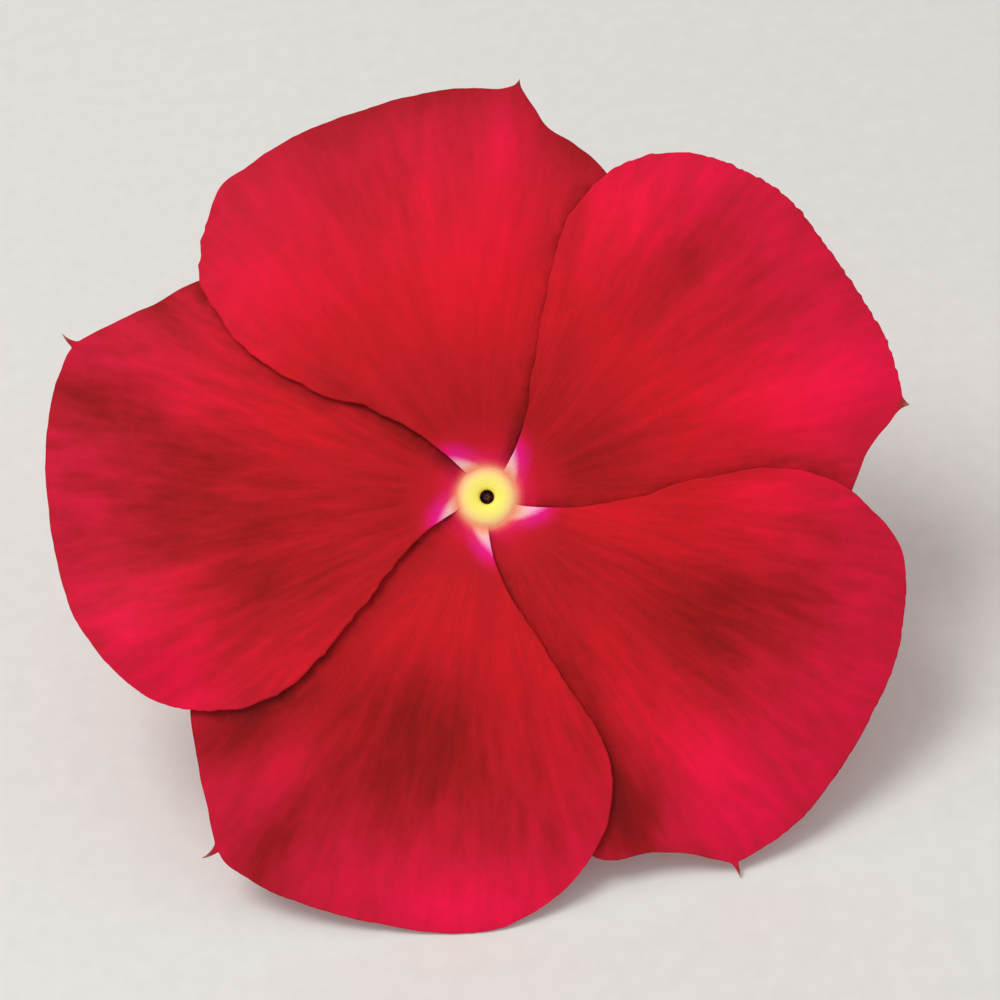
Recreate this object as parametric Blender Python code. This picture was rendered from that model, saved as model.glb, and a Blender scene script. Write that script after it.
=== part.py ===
"""A picked vinca flower, the Madagascar periwinkle, Catharanthus roseus.

Five broad petals overlap in a pinwheel round a small eye. Behind the eye the corolla narrows to a
slender tube, which stands among five green sepals on a short cut stalk. Five stamens and the pistil
sit inside the tube. The flower lies on a level surface, on the end of its stalk and two petal rims.

Metres, +Z up. The flower is modelled face up about its own axis, with the eye at the origin. Its
pieces are parented to an empty that lays it down on z = 0, with its face towards -Y.
"""

import math

import bmesh
import bpy
from mathutils import Matrix, Vector

MM = 0.001

# Petals, anticlockwise as the face is seen: name, direction of the tip in degrees, distance of the
# tip from the eye, lean of the leading margin in degrees, and share of that distance at the shoulder.
PETALS = (
    ("petal_right", 12.6, 27.2 * MM, -0.8, 0.940),
    ("petal_top", 85.6, 26.2 * MM, 0.8, 0.985),
    ("petal_left", 159.6, 28.3 * MM, 1.2, 0.925),
    ("petal_bottom", 232.3, 28.5 * MM, 0.0, 0.920),
    ("petal_lower_right", 304.0, 28.4 * MM, -0.8, 0.950),
)
PETAL_PITCH = 360.0 / len(PETALS)
PETAL_CENTRE = 16.0             # middle of a petal, degrees from where its tip would evenly be
PETAL_THICKNESS = 0.45 * MM
PETAL_POINT = 0.7 * MM          # small sharp point that ends the tip
PETAL_ROWS = 14
PETAL_COLUMNS = 16
BASE_RADIUS = 2.25 * MM
BASE_SPAN = (-34.0, 28.5)       # foot of a petal at the eye, degrees from its middle

# Margins of one petal: degrees from its tip, share of the tip's distance from the eye.
# The leading margin lies on top of the next petal, and the trailing margin lies under the last one.
LEADING_MARGIN = (
    (48.5, 0.15), (56, 0.29), (61, 0.42), (63.3, 0.54), (62.8, 0.66), (59.5, 0.775), (54, 0.868),
)
SHOULDER = 46.0
SHOULDER_SHARE = 0.935          # usual share of the tip's distance at the shoulder
SHOULDER_START = 0.70           # a wider shoulder fills out the leading margin from this share on
TRAILING_MARGIN = (
    (-15, 0.12), (-15.5, 0.155), (-25, 0.22), (-31, 0.33), (-32, 0.46), (-30, 0.58), (-25, 0.71),
    (-17, 0.825), (-9, 0.875), (-3.5, 0.94),
)
OUTER_EDGE = ((3, 1.0), (9, 1.004), (20, 0.997), (32, 1.005), (40, 1.006))

# Height of the petals' faces above the eye.
FACE_RISE = 1.0 * MM            # shallow swelling round the eye
RISE_LENGTH = 5.0 * MM
RIM_FALL = 2.2 * MM             # how far the outer rim curls back
RIM_RADIUS = 28.0 * MM
OVERLAP_LIFT = 0.85 * MM        # height of a leading margin over the petal under it
LIFT_FULL_RADIUS = 4.2 * MM     # from here out, neighbouring petals overlap

# Corolla tube. Its mouth is the dark throat, and its flared rim is the yellow eye.
TUBE_LENGTH = 23.0 * MM
MOUTH_RADIUS = 0.48 * MM
EYE_RADIUS = 1.92 * MM
SWELL_OUTER = 1.78 * MM
SWELL_INNER = 1.38 * MM
NECK_OUTER = 1.10 * MM
NECK_INNER = 0.75 * MM
TUBE_STEPS = 20

# Calyx and stalk.
SEAT_GAP = 0.30 * MM            # clearance between a piece and its seat
SEPAL_COUNT = 5
SEPAL_LENGTH = 4.6 * MM
SEPAL_WIDTH = 1.05 * MM
SEPAL_THICKNESS = 0.34 * MM
SEPAL_SPREAD = 0.75 * MM        # how far a sepal's tip leans out
SEPAL_FIRST = 20.0
SEPAL_RINGS = 7
SEPAL_SIDES = 8
RECEPTACLE_RADIUS = 1.75 * MM
STALK_RADIUS = 0.52 * MM
STALK_LENGTH = 4.2 * MM
STALK_STEPS = 14

# Stamens and pistil, inside the tube.
STAMEN_COUNT = 5
ANTHER_HEIGHT = 3.3 * MM        # depth of an anther's middle below the face
ANTHER_LENGTH = 1.6 * MM
ANTHER_WIDTH = 0.44 * MM
ANTHER_THICKNESS = 0.36 * MM
ANTHER_SEGMENTS = 8
ANTHER_RINGS = 6
OVARY_RADIUS = 0.42 * MM
OVARY_HEIGHT = 1.6 * MM
STYLE_RADIUS = 0.13 * MM
STIGMA_RADIUS = 0.35 * MM
STIGMA_HEIGHT = 4.8 * MM        # depth of the stigma's middle below the face
PISTIL_STEPS = 10

# How the flower lies: the way that points down, as a direction in the face and an angle behind it.
DOWN_DIRECTION = 281.0
DOWN_BEHIND_FACE = 44.0


def clear_scene():
    for obj in list(bpy.data.objects):
        bpy.data.objects.remove(obj, do_unlink=True)


def finish(name, colour, roughness):
    """Plain plant surface of one colour."""
    material = bpy.data.materials.new(name)
    material.use_nodes = True
    principled = material.node_tree.nodes["Principled BSDF"]
    principled.inputs["Base Color"].default_value = (*colour, 1.0)
    principled.inputs["Roughness"].default_value = roughness
    principled.inputs["Metallic"].default_value = 0.0
    return material


def add_piece(name, mesh, material, parent):
    """Puts a mesh in the scene as a named piece of the flower."""
    mesh.materials.append(material)
    piece = bpy.data.objects.new(name, mesh)
    bpy.context.scene.collection.objects.link(piece)
    piece.parent = parent
    return piece


def polar(degrees, radius, height=0.0):
    angle = math.radians(degrees)
    return Vector((radius * math.cos(angle), radius * math.sin(angle), height))


def smooth_curve(points, samples, before=None, after=None):
    """Evenly spaced points on a smooth curve through the given ones.

    A point before or after gives the curve's direction where it runs on past its end.
    """
    first = before or 2 * points[0] - points[1]
    last = after or 2 * points[-1] - points[-2]
    ends = [first, *points, last]
    dense = []
    fine = 12
    for index in range(len(points) - 1):
        p0, p1, p2, p3 = ends[index:index + 4]
        for step in range(fine):
            t = step / fine
            dense.append(0.5 * (2 * p1 + (p2 - p0) * t + (2 * p0 - 5 * p1 + 4 * p2 - p3) * t * t
                                + (3 * p1 - p0 - 3 * p2 + p3) * t * t * t))
    dense.append(points[-1])
    travelled = [0.0]
    for start, end in zip(dense, dense[1:]):
        travelled.append(travelled[-1] + (end - start).length)
    curve = []
    index = 0
    for step in range(samples + 1):
        wanted = travelled[-1] * step / samples
        while index < len(dense) - 2 and travelled[index + 1] < wanted:
            index += 1
        span = travelled[index + 1] - travelled[index]
        curve.append(dense[index].lerp(dense[index + 1], (wanted - travelled[index]) / span))
    return curve


# ---- petals ----

def petal_centre(index):
    """Direction of a petal's middle. The middles are evenly spaced, whatever way each tip points."""
    return PETALS[0][1] + PETAL_CENTRE + PETAL_PITCH * index


def petal_sides(index):
    """Four sides of a petal's outline: base, trailing margin, outer edge and leading margin."""
    _, tip, reach, lean, shoulder = PETALS[index]
    first, last = (petal_centre(index) + turn for turn in BASE_SPAN)
    base = [polar(first + (last - first) * column / PETAL_COLUMNS, BASE_RADIUS)
            for column in range(PETAL_COLUMNS + 1)]
    tip_point = polar(tip, reach)
    trailing = [base[0]]
    trailing += [polar(tip + angle, reach * share) for angle, share in TRAILING_MARGIN]
    trailing.append(tip_point)
    leading = [base[-1]]
    for angle, share in LEADING_MARGIN:
        fill = max(share - SHOULDER_START, 0.0) / (SHOULDER_SHARE - SHOULDER_START)
        leading.append(polar(tip + angle + lean, reach * (share + (shoulder - SHOULDER_SHARE) * fill)))
    outer = [tip_point]
    for angle, share in OUTER_EDGE:
        part = angle / SHOULDER
        outer.append(polar(tip + angle + lean * part, reach * (share + (shoulder - 1.0) * part ** 3)))
    corner = polar(tip + SHOULDER + lean, reach * shoulder)
    return (
        base,
        smooth_curve(trailing, PETAL_ROWS),
        smooth_curve([*outer, corner], PETAL_COLUMNS, after=leading[-1]),
        smooth_curve([*leading, corner], PETAL_ROWS, after=outer[-1]),
    )


def face_height(point, centre):
    """Height of a petal's middle layer: a shallow dome, turned up towards the leading margin."""
    radius = point.length
    turn = (math.degrees(math.atan2(point.y, point.x)) - centre + 180.0) % 360.0 - 180.0
    dome = FACE_RISE * (1.0 - math.exp((BASE_RADIUS - radius) / RISE_LENGTH))
    dome -= RIM_FALL * (radius / RIM_RADIUS) ** 3
    share = min(max((radius - BASE_RADIUS) / (LIFT_FULL_RADIUS - BASE_RADIUS), 0.0), 1.0)
    return dome + OVERLAP_LIFT * share * share * (3.0 - 2.0 * share) * turn / PETAL_PITCH


def petal_mesh(name, index):
    """A sheet stretched between the four sides of the outline, then lifted to its height."""
    _, tip, reach, _, _ = PETALS[index]
    base, trailing, outer, leading = petal_sides(index)
    centre = petal_centre(index)
    sheet = bmesh.new()
    grid = []
    for row in range(PETAL_ROWS + 1):
        t = row / PETAL_ROWS
        line = []
        for column in range(PETAL_COLUMNS + 1):
            s = column / PETAL_COLUMNS
            point = base[column] * (1 - t) + outer[column] * t
            point += trailing[row] * (1 - s) + leading[row] * s
            point -= (base[0] * (1 - s) + base[-1] * s) * (1 - t)
            point -= (outer[0] * (1 - s) + outer[-1] * s) * t
            line.append(point)
        grid.append(line)
    grid[-1][0] = polar(tip, reach + PETAL_POINT)
    rows = [[sheet.verts.new(point + Vector((0, 0, face_height(point, centre)))) for point in line]
            for line in grid]
    for low, high in zip(rows, rows[1:]):
        for column in range(PETAL_COLUMNS):
            sheet.faces.new((low[column], low[column + 1], high[column + 1], high[column]))
    bmesh.ops.recalc_face_normals(sheet, faces=sheet.faces)
    mesh = bpy.data.meshes.new(name)
    sheet.to_mesh(mesh)
    sheet.free()
    mesh.shade_smooth()
    return mesh


def add_petals(parent):
    red = finish("petal_red", (0.55, 0.012, 0.035), 0.55)
    petals = []
    for index, row in enumerate(PETALS):
        petal = add_piece(row[0], petal_mesh(row[0], index), red, parent)
        solidify = petal.modifiers.new("blade thickness", "SOLIDIFY")
        solidify.thickness = PETAL_THICKNESS
        solidify.offset = 0.0
        petals.append(petal)
    return petals


# ---- turned pieces: tube, stalk and pistil ----

def turned_mesh(name, profile, steps, ring=False):
    """Turns (radius, height) points about the axis; the profile runs down the outer side.

    A ring's profile is a loop clear of the axis. Any other profile starts and ends on the axis.
    """
    turned = bmesh.new()
    circles = []
    for radius, height in profile:
        if radius == 0.0:
            circles.append([turned.verts.new((0.0, 0.0, height))])
        else:
            circles.append([turned.verts.new(polar(360.0 * step / steps, radius, height))
                            for step in range(steps)])
    pairs = list(zip(circles, circles[1:]))
    if ring:
        pairs.append((circles[-1], circles[0]))
    for upper, lower in pairs:
        for step in range(steps):
            after = (step + 1) % steps
            corners = [upper[step % len(upper)], lower[step % len(lower)],
                       lower[after % len(lower)], upper[after % len(upper)]]
            turned.faces.new(list(dict.fromkeys(corners)))
    mesh = bpy.data.meshes.new(name)
    turned.to_mesh(mesh)
    turned.free()
    mesh.shade_smooth()
    return mesh


def add_tube(parent):
    """Hollow tube with a small mouth, a swelling for the anthers and a flared eye."""
    profile = [
        (MOUTH_RADIUS, -0.06 * MM),
        (MOUTH_RADIUS + 0.15 * MM, 0.0),
        (1.25 * MM, 0.05 * MM),
        (EYE_RADIUS, 0.0),
        (EYE_RADIUS, -0.28 * MM),
        (SWELL_OUTER, -0.8 * MM),
        (SWELL_OUTER - 0.05 * MM, -1.6 * MM),
        (SWELL_OUTER, -3.0 * MM),
        (SWELL_OUTER, -4.6 * MM),
        (SWELL_OUTER - 0.2 * MM, -6.0 * MM),
        (NECK_OUTER + 0.15 * MM, -8.0 * MM),
        (NECK_OUTER, -11.0 * MM),
        (NECK_OUTER, -TUBE_LENGTH),
        (NECK_INNER, -TUBE_LENGTH),
        (NECK_INNER, -9.0 * MM),
        (NECK_INNER + 0.15 * MM, -7.6 * MM),
        (SWELL_INNER - 0.15 * MM, -5.9 * MM),
        (SWELL_INNER, -4.8 * MM),
        (SWELL_INNER, -2.2 * MM),
        (SWELL_INNER - 0.3 * MM, -1.3 * MM),
        (MOUTH_RADIUS, -0.6 * MM),
    ]
    yellow = finish("throat_yellow", (0.86, 0.72, 0.16), 0.5)
    return add_piece("corolla_tube", turned_mesh("corolla_tube", profile, TUBE_STEPS, ring=True), yellow, parent)


def add_stalk(parent, green):
    """Receptacle that carries the calyx and the tube, on a short stalk cut square."""
    top = -TUBE_LENGTH - SEAT_GAP
    end = top - STALK_LENGTH
    profile = [
        (0.0, top),
        (RECEPTACLE_RADIUS, top),
        (RECEPTACLE_RADIUS - 0.05 * MM, top - 0.35 * MM),
        (STALK_RADIUS + 0.45 * MM, top - 0.95 * MM),
        (STALK_RADIUS + 0.1 * MM, top - 1.6 * MM),
        (STALK_RADIUS, top - 2.4 * MM),
        (STALK_RADIUS, end + 0.6 * MM),
        (STALK_RADIUS + 0.04 * MM, end),
        (0.0, end),
    ]
    return add_piece("pedicel", turned_mesh("pedicel", profile, STALK_STEPS), green, parent)


def add_pistil(parent):
    """Ovary in the foot of the tube, with a thread-like style up to a drum-shaped stigma."""
    foot = -TUBE_LENGTH
    profile = [
        (0.0, -STIGMA_HEIGHT + 0.75 * MM),
        (0.12 * MM, -STIGMA_HEIGHT + 0.6 * MM),
        (STIGMA_RADIUS, -STIGMA_HEIGHT + 0.3 * MM),
        (STIGMA_RADIUS, -STIGMA_HEIGHT - 0.3 * MM),
        (STYLE_RADIUS, -STIGMA_HEIGHT - 0.5 * MM),
        (STYLE_RADIUS, foot + OVARY_HEIGHT),
        (0.75 * OVARY_RADIUS, foot + 0.75 * OVARY_HEIGHT),
        (OVARY_RADIUS, foot + 0.35 * OVARY_HEIGHT),
        (0.8 * OVARY_RADIUS, foot),
        (0.0, foot),
    ]
    pale = finish("pistil_green", (0.55, 0.62, 0.25), 0.5)
    return add_piece("pistil", turned_mesh("pistil", profile, PISTIL_STEPS), pale, parent)


# ---- sepals and stamens ----

def sepal_mesh(name):
    """A narrow pointed blade that stands beside the tube, tip up, and leans out along +X."""
    blade = bmesh.new()
    rings = []
    foot = -TUBE_LENGTH
    middle = NECK_OUTER + SEAT_GAP + 0.5 * SEPAL_THICKNESS
    for ring in range(SEPAL_RINGS):
        t = ring / SEPAL_RINGS
        half_width = 0.5 * SEPAL_WIDTH * (1.0 - t) ** 0.7
        half_thickness = 0.5 * SEPAL_THICKNESS * (1.0 - 0.6 * t)
        centre = Vector((middle + SEPAL_SPREAD * t * t, 0.0, foot + SEPAL_LENGTH * t))
        circle = []
        for side in range(SEPAL_SIDES):
            angle = 2.0 * math.pi * side / SEPAL_SIDES
            offset = Vector((half_thickness * math.cos(angle), half_width * math.sin(angle), 0.0))
            circle.append(blade.verts.new(centre + offset))
        rings.append(circle)
    tip = blade.verts.new((middle + SEPAL_SPREAD, 0.0, foot + SEPAL_LENGTH))
    for low, high in zip(rings, rings[1:]):
        for side in range(SEPAL_SIDES):
            after = (side + 1) % SEPAL_SIDES
            blade.faces.new((low[side], low[after], high[after], high[side]))
    for side in range(SEPAL_SIDES):
        blade.faces.new((rings[-1][side], rings[-1][(side + 1) % SEPAL_SIDES], tip))
    blade.faces.new(rings[0][::-1])
    mesh = bpy.data.meshes.new(name)
    blade.to_mesh(mesh)
    blade.free()
    mesh.shade_smooth()
    return mesh


def anther_mesh(name):
    """A long narrow grain on the inner wall of the swelling, on the +X side."""
    grain = bmesh.new()
    bmesh.ops.create_uvsphere(grain, u_segments=ANTHER_SEGMENTS, v_segments=ANTHER_RINGS, radius=0.5)
    shape = Matrix.Diagonal((ANTHER_THICKNESS, ANTHER_WIDTH, ANTHER_LENGTH, 1.0))
    reach = SWELL_INNER - SEAT_GAP - 0.5 * ANTHER_THICKNESS
    bmesh.ops.transform(grain, matrix=Matrix.Translation((reach, 0.0, -ANTHER_HEIGHT)) @ shape,
                        verts=grain.verts)
    mesh = bpy.data.meshes.new(name)
    grain.to_mesh(mesh)
    grain.free()
    mesh.shade_smooth()
    return mesh


def add_round(name, mesh, count, first, material, parent):
    """Copies of one piece, evenly spaced about the axis."""
    copies = []
    for number in range(count):
        copy = add_piece(f"{name}_{number + 1}", mesh.copy(), material, parent)
        copy.rotation_euler.z = math.radians(first + 360.0 * number / count)
        copies.append(copy)
    return copies


# ---- lying on a surface ----

def piece_shapes(pieces):
    """Corners and triangles of each finished piece, in the flower's own frame."""
    bpy.context.view_layer.update()
    graph = bpy.context.evaluated_depsgraph_get()
    shapes = []
    for piece in pieces:
        mesh = piece.evaluated_get(graph).to_mesh()
        mesh.calc_loop_triangles()
        corners = [piece.matrix_world @ vertex.co for vertex in mesh.vertices]
        shapes.append((corners, [tuple(triangle.vertices) for triangle in mesh.loop_triangles]))
    return shapes


def centre_of_mass(shapes):
    moment = Vector()
    volume = 0.0
    for corners, triangles in shapes:
        for a, b, c in triangles:
            wedge = corners[a].dot(corners[b].cross(corners[c])) / 6.0
            moment += wedge * (corners[a] + corners[b] + corners[c]) / 4.0
            volume += wedge
    return moment / volume


def resting_face(shapes, down):
    """Normal of the hull face that the flower settles on, starting from a way to point down."""
    middle = centre_of_mass(shapes)
    hull = bmesh.new()
    for corners, _ in shapes:
        for corner in corners:
            hull.verts.new(corner)
    result = bmesh.ops.convex_hull(hull, input=hull.verts)
    faces = [element for element in result["geom"] if isinstance(element, bmesh.types.BMFace)]
    planes = []
    for face in faces:
        normal = (face.verts[1].co - face.verts[0].co).cross(face.verts[2].co - face.verts[0].co).normalized()
        reach = (face.verts[0].co - middle).dot(normal)
        planes.append((normal, reach) if reach > 0.0 else (-normal, -reach))
    hull.free()
    for _ in range(8):
        below = [(reach / normal.dot(down), normal) for normal, reach in planes if normal.dot(down) > 0.0]
        down = min(below, key=lambda item: item[0])[1]
    return down


def lay_down(flower, pieces):
    """Turns and moves the empty so that the flower lies on z = 0, with its face towards -Y."""
    shapes = piece_shapes(pieces)
    behind = math.radians(DOWN_BEHIND_FACE)
    start = polar(DOWN_DIRECTION, math.cos(behind), -math.sin(behind))
    down = resting_face(shapes, start)
    back = Vector((0.0, 0.0, -1.0))
    back = (back - back.dot(down) * down).normalized()
    across = back.cross(-down)
    turn = Matrix((across, back, -down))
    corners = [turn @ corner for shape, _ in shapes for corner in shape]
    low = Vector(min(corner[axis] for corner in corners) for axis in range(3))
    high = Vector(max(corner[axis] for corner in corners) for axis in range(3))
    place = Vector((-0.5 * (low.x + high.x), -0.5 * (low.y + high.y), -low.z))
    flower.matrix_world = Matrix.Translation(place) @ turn.to_4x4()


def build_flower():
    clear_scene()
    flower = bpy.data.objects.new("flower", None)
    bpy.context.scene.collection.objects.link(flower)
    green = finish("calyx_green", (0.16, 0.30, 0.07), 0.5)
    cream = finish("anther_cream", (0.80, 0.66, 0.30), 0.6)
    pieces = add_petals(flower)
    pieces.append(add_tube(flower))
    pieces.append(add_stalk(flower, green))
    pieces.append(add_pistil(flower))
    pieces += add_round("sepal", sepal_mesh("sepal"), SEPAL_COUNT, SEPAL_FIRST, green, flower)
    pieces += add_round("stamen", anther_mesh("stamen"), STAMEN_COUNT, 0.0, cream, flower)
    lay_down(flower, pieces)


build_flower()
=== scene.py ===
"""A picked vinca flower, the Madagascar periwinkle, lying on a pale table.

The pieces are made in the order in which the flower is put together: the five petals round the eye,
the tube that carries them, the stamens and the pistil inside it, the calyx, and the stalk.
Lengths are in millimetres about the flower's own axis, and turned to metres as each mesh is made.
"""

import math

import bpy
import numpy as np
from mathutils import Matrix, Vector


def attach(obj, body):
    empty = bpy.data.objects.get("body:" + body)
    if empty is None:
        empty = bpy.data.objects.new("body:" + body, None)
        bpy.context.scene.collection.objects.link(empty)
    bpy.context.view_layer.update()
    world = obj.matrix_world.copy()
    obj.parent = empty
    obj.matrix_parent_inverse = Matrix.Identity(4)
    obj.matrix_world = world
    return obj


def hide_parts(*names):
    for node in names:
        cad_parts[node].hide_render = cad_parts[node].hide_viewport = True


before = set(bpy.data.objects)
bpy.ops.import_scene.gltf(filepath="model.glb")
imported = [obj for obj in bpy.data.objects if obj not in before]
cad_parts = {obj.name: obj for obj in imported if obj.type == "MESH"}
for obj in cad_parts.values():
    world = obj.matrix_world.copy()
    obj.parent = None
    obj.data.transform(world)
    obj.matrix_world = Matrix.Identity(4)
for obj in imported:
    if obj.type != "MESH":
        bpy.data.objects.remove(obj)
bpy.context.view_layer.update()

scene = bpy.context.scene


# ---- How the flower lies ----
# A picked flower comes to rest on the end of its stalk and the rims of two petals, face up and forwards.
# Its own axis runs up the middle of the tube and out of the eye, and every piece is made about it.

MM = 0.001
TOP_TIP_DIRECTION = 85.6        # tip of the top petal, in degrees about the axis
EYE_CROWN = 0.05                # height of the tube's rim above the zero of the eye


def mesh_points(mesh):
    points = np.empty(len(mesh.vertices) * 3)
    mesh.vertices.foreach_get("co", points)
    return points.reshape(-1, 3)


def find_flower():
    """The flower's own axes about the middle of its eye, from the tube, the stalk and the top petal."""
    tube, stalk, top_petal = (
        mesh_points(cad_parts[node].data) for node in ("corolla_tube", "pedicel", "petal_top"))
    stalk_middle = stalk.mean(axis=0)
    outward = tube.mean(axis=0) - stalk_middle
    outward /= np.linalg.norm(outward)
    reach = ((tube - stalk_middle) @ outward).max() - EYE_CROWN * MM
    eye = stalk_middle + outward * reach
    spread = top_petal - eye
    spread -= np.outer(spread @ outward, outward)
    tip = spread[np.linalg.norm(spread, axis=1).argmax()]
    turn = Matrix.Rotation(math.radians(90.0 - TOP_TIP_DIRECTION), 3, Vector(outward))
    up = (turn @ Vector(tip)).normalized()
    right = up.cross(Vector(outward))
    axes = Matrix((right, up, Vector(outward))).transposed().to_4x4()
    return Matrix.Translation(eye) @ axes


flower = find_flower()


# ---- Camera ----
# It looks straight down the flower's axis at the open face.

VIEW_WIDTH = 63.8               # width of the view at the eye
VIEW_MIDDLE = (0.83, -0.19)     # the eye sits a little left of the middle
LENS = 100.0
SENSOR = 36.0

camera = bpy.data.objects.new("camera", bpy.data.cameras.new("camera"))
scene.collection.objects.link(camera)
scene.camera = camera
camera.data.lens = LENS
camera.data.sensor_width = SENSOR
camera.data.clip_start = 0.01
camera_place = Vector((*VIEW_MIDDLE, VIEW_WIDTH * LENS / SENSOR)) * MM
camera.matrix_world = flower @ Matrix.Translation(camera_place)


# ---- Petals ----
# Five broad lobes of one thin velvety skin, which grow out of the rim of the tube. Each one's leading
# margin lies over the next petal anticlockwise, and each ends in a small point off to one side.

# Turns are degrees anticlockwise from a petal's tip. A leading margin is given by its turns at
# LEADING_DISTANCES, the rim and the trailing margin by their distances from the eye at RIM_TURNS and
# TRAILING_TURNS, and the corner, where rim and leading margin meet, by both. The fine point at the tip
# has a length, a base and a sideways hook, and the corner by the leading margin may curl up. Each fold
# is a soft swelling or hollow: turn, distance from the eye, width in degrees, length, and tone, which
# is below zero in a hollow. A fold's tone is partly the petal's own deeper or brighter red and partly
# painted light and shade, including the painted shadow that a covering petal casts. Crease shade is the
# strength of the painted shade beside the margin of the petal before, which covers this one.
PETALS = {
    "petal_right": {
        "tip": 12.6, "reach": 27.2, "corner": (47, 25.5),
        "leading": (45.5, 48, 52.5, 57, 59, 60.5, 61.5, 61.5, 58.5, 54),
        "rim": (27.5, 27.5, 27.1, 27.2, 26.5), "trailing": (22.4, 23.6, 24.8, 26.3),
        "point": 0.56, "base": 1.1, "hook": -0.3, "curl": 0.15, "lift": 0.45, "flare": 3.45, "crease_shade": 0.7,
        "ruffle": 0.05, "frill": 0.06, "veins": 1.25, "seed": 5,
        "folds_and_shade": (
            (5, 22, 7, 7, 1.3), (50, 20, 13, 6, 0.7), (30, 25, 20, 3.5, 0.35), (37, 19.5, 4, 4.5, -0.9),
            (20, 15.5, 14, 5, 0.3), (5, 7.5, 18, 4, -0.5),
        ),
    },
    "petal_top": {
        "tip": 85.6, "reach": 26.6, "corner": (46, 26.0),
        "leading": (46.5, 49, 52, 55.5, 58.5, 62.5, 63.5, 63, 60, 56),
        "rim": (26.2, 26.3, 26.1, 26.2, 26.1), "trailing": (21.8, 23.2, 24.0, 25.4),
        "point": 0.34, "base": 0.5, "hook": -0.1, "curl": 0.2, "lift": 0.46, "flare": 3.35, "crease_shade": 1.2,
        "ruffle": 0.07, "frill": 0.01, "veins": 0.85, "seed": 1,
        "folds_and_shade": (
            (8, 14.5, 20, 5, 0.7), (51, 19, 14, 4.5, 0.7), (12, 26.5, 22, 2, -0.9),
            (-10, 24, 7, 2.5, -1.0), (2, 22, 4, 5, 0.6), (58, 10.5, 4.5, 5, -0.6),
        ),
    },
    "petal_left": {
        "tip": 159.6, "reach": 28.3, "corner": (50, 25.3),
        "leading": (46, 49, 54, 58.5, 61.5, 63, 64.5, 64, 60.5, 55.5),
        "rim": (28.6, 28.7, 28.3, 27.8, 27.0), "trailing": (22.9, 24.6, 26.3, 27.5),
        "point": 1.0, "base": 0.44, "hook": -0.35, "curl": 1.3, "lift": 0.52, "flare": 3.4, "crease_shade": 1.3,
        "ruffle": 0.06, "frill": 0.01, "veins": 1.6, "seed": 2,
        "folds_and_shade": (
            (-1, 20, 5, 6, 0.6), (7, 26, 5, 4.5, -1.0), (18, 19, 13, 6, -0.8), (40, 14.5, 16, 4.5, -0.7),
            (-12, 26, 8, 4, -0.9), (50, 23.5, 13, 4.5, 0.8),
        ),
    },
    "petal_bottom": {
        "tip": 232.3, "reach": 28.5, "corner": (48, 25.8),
        "leading": (41, 44.5, 50, 55, 58.5, 60, 62.5, 63, 60, 55),
        "rim": (29.0, 28.9, 28.4, 28.1, 27.5), "trailing": (23.2, 25.1, 26.6, 27.7),
        "point": 1.12, "base": 0.42, "hook": -0.28, "curl": 0.3, "lift": 0.38, "flare": 3.55, "crease_shade": 1.2,
        "ruffle": 0.03, "frill": 0.01, "veins": 1.2, "seed": 3,
        "folds_and_shade": (
            (22, 16, 17, 5, -1.4), (-10, 21, 5, 4, -1.4), (1, 23.5, 3, 4, 0.6), (6, 26, 5, 5, -0.9),
            (36, 26.5, 20, 3, 1.1), (30, 8, 35, 5, 0.5), (-5, 16, 6, 5, -0.4),
        ),
    },
    "petal_lower_right": {
        "tip": 304.0, "reach": 28.4, "corner": (49, 26.7),
        "leading": (42.5, 46.5, 50, 54, 56.5, 60, 61.5, 62, 60, 56.5),
        "rim": (28.6, 28.9, 28.6, 28.3, 27.8), "trailing": (24.2, 25.0, 26.1, 27.4),
        "point": 1.06, "base": 0.40, "hook": -0.2, "curl": 0.1, "lift": 0.38, "flare": 3.65, "crease_shade": 0.6,
        "ruffle": 0.03, "frill": 0.02, "veins": 1.5, "seed": 4,
        "folds_and_shade": (
            (-11, 21.5, 5, 4, -1.8), (-8, 14, 5, 4, -0.6), (6, 23.5, 8, 7, 0.9), (26, 16, 12, 4.5, -1.0),
            (35, 20, 4, 5, -0.5), (57, 19, 6, 5, 0.8), (50, 6, 15, 5, 0.7), (29, 26, 14, 3.5, 0.5),
        ),
    },
}
PETAL_PITCH = 360.0 / len(PETALS)
PETAL_CENTRE = 16.0             # middle of a petal, degrees from where its tip would evenly be
PETAL_ROWS = 110
PETAL_COLUMNS = 150
FOOT_RADIUS = 1.5               # the petals grow out from under the rim of the eye
FOOT_SPAN = (-47.0, 29.0)       # degrees from a petal's middle

LEADING_DISTANCES = (2.5, 4, 6, 8, 10, 12, 15, 18, 21, 23.5)
RIM_TURNS = (3, 10, 20, 32, 40)
TRAILING_TURNS = (-17, -10, -5, -2)
COVERED_MARGIN = (              # part of the trailing margin under the petal before: turn, share of reach
    (-45, 0.08), (-50, 0.14), (-49, 0.22), (-44, 0.32), (-37.5, 0.44), (-30.5, 0.58), (-25, 0.71),
)

CURVE_STEPS = 24                # steps of a smooth curve between two given points
CROWDING = 0.92                 # how far a blade's grid crowds towards its margins
WAVE_PARTS = ((1.0, 0.6), (0.61, 0.5), (0.37, 0.3))     # wavelength, as a share, and strength
RIPPLE_FADE = 3.0               # length over which a ripple dies away at its ends
MARGIN_RIPPLE = 0.03            # size of the ripples of the rim and the trailing margin
TRAILING_WAVE = 4.0
RIM_WAVE = 5.0
FRILL_WAVE = 1.1                # a frill is a finer ripple of the rim
RUFFLE_WAVE = 3.6               # a ruffle ripples the leading margin, with a shorter wave on top
SHORT_RUFFLE = 0.6
SHORT_RUFFLE_WAVE = 1.4
RUFFLE_START = 10.0

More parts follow.
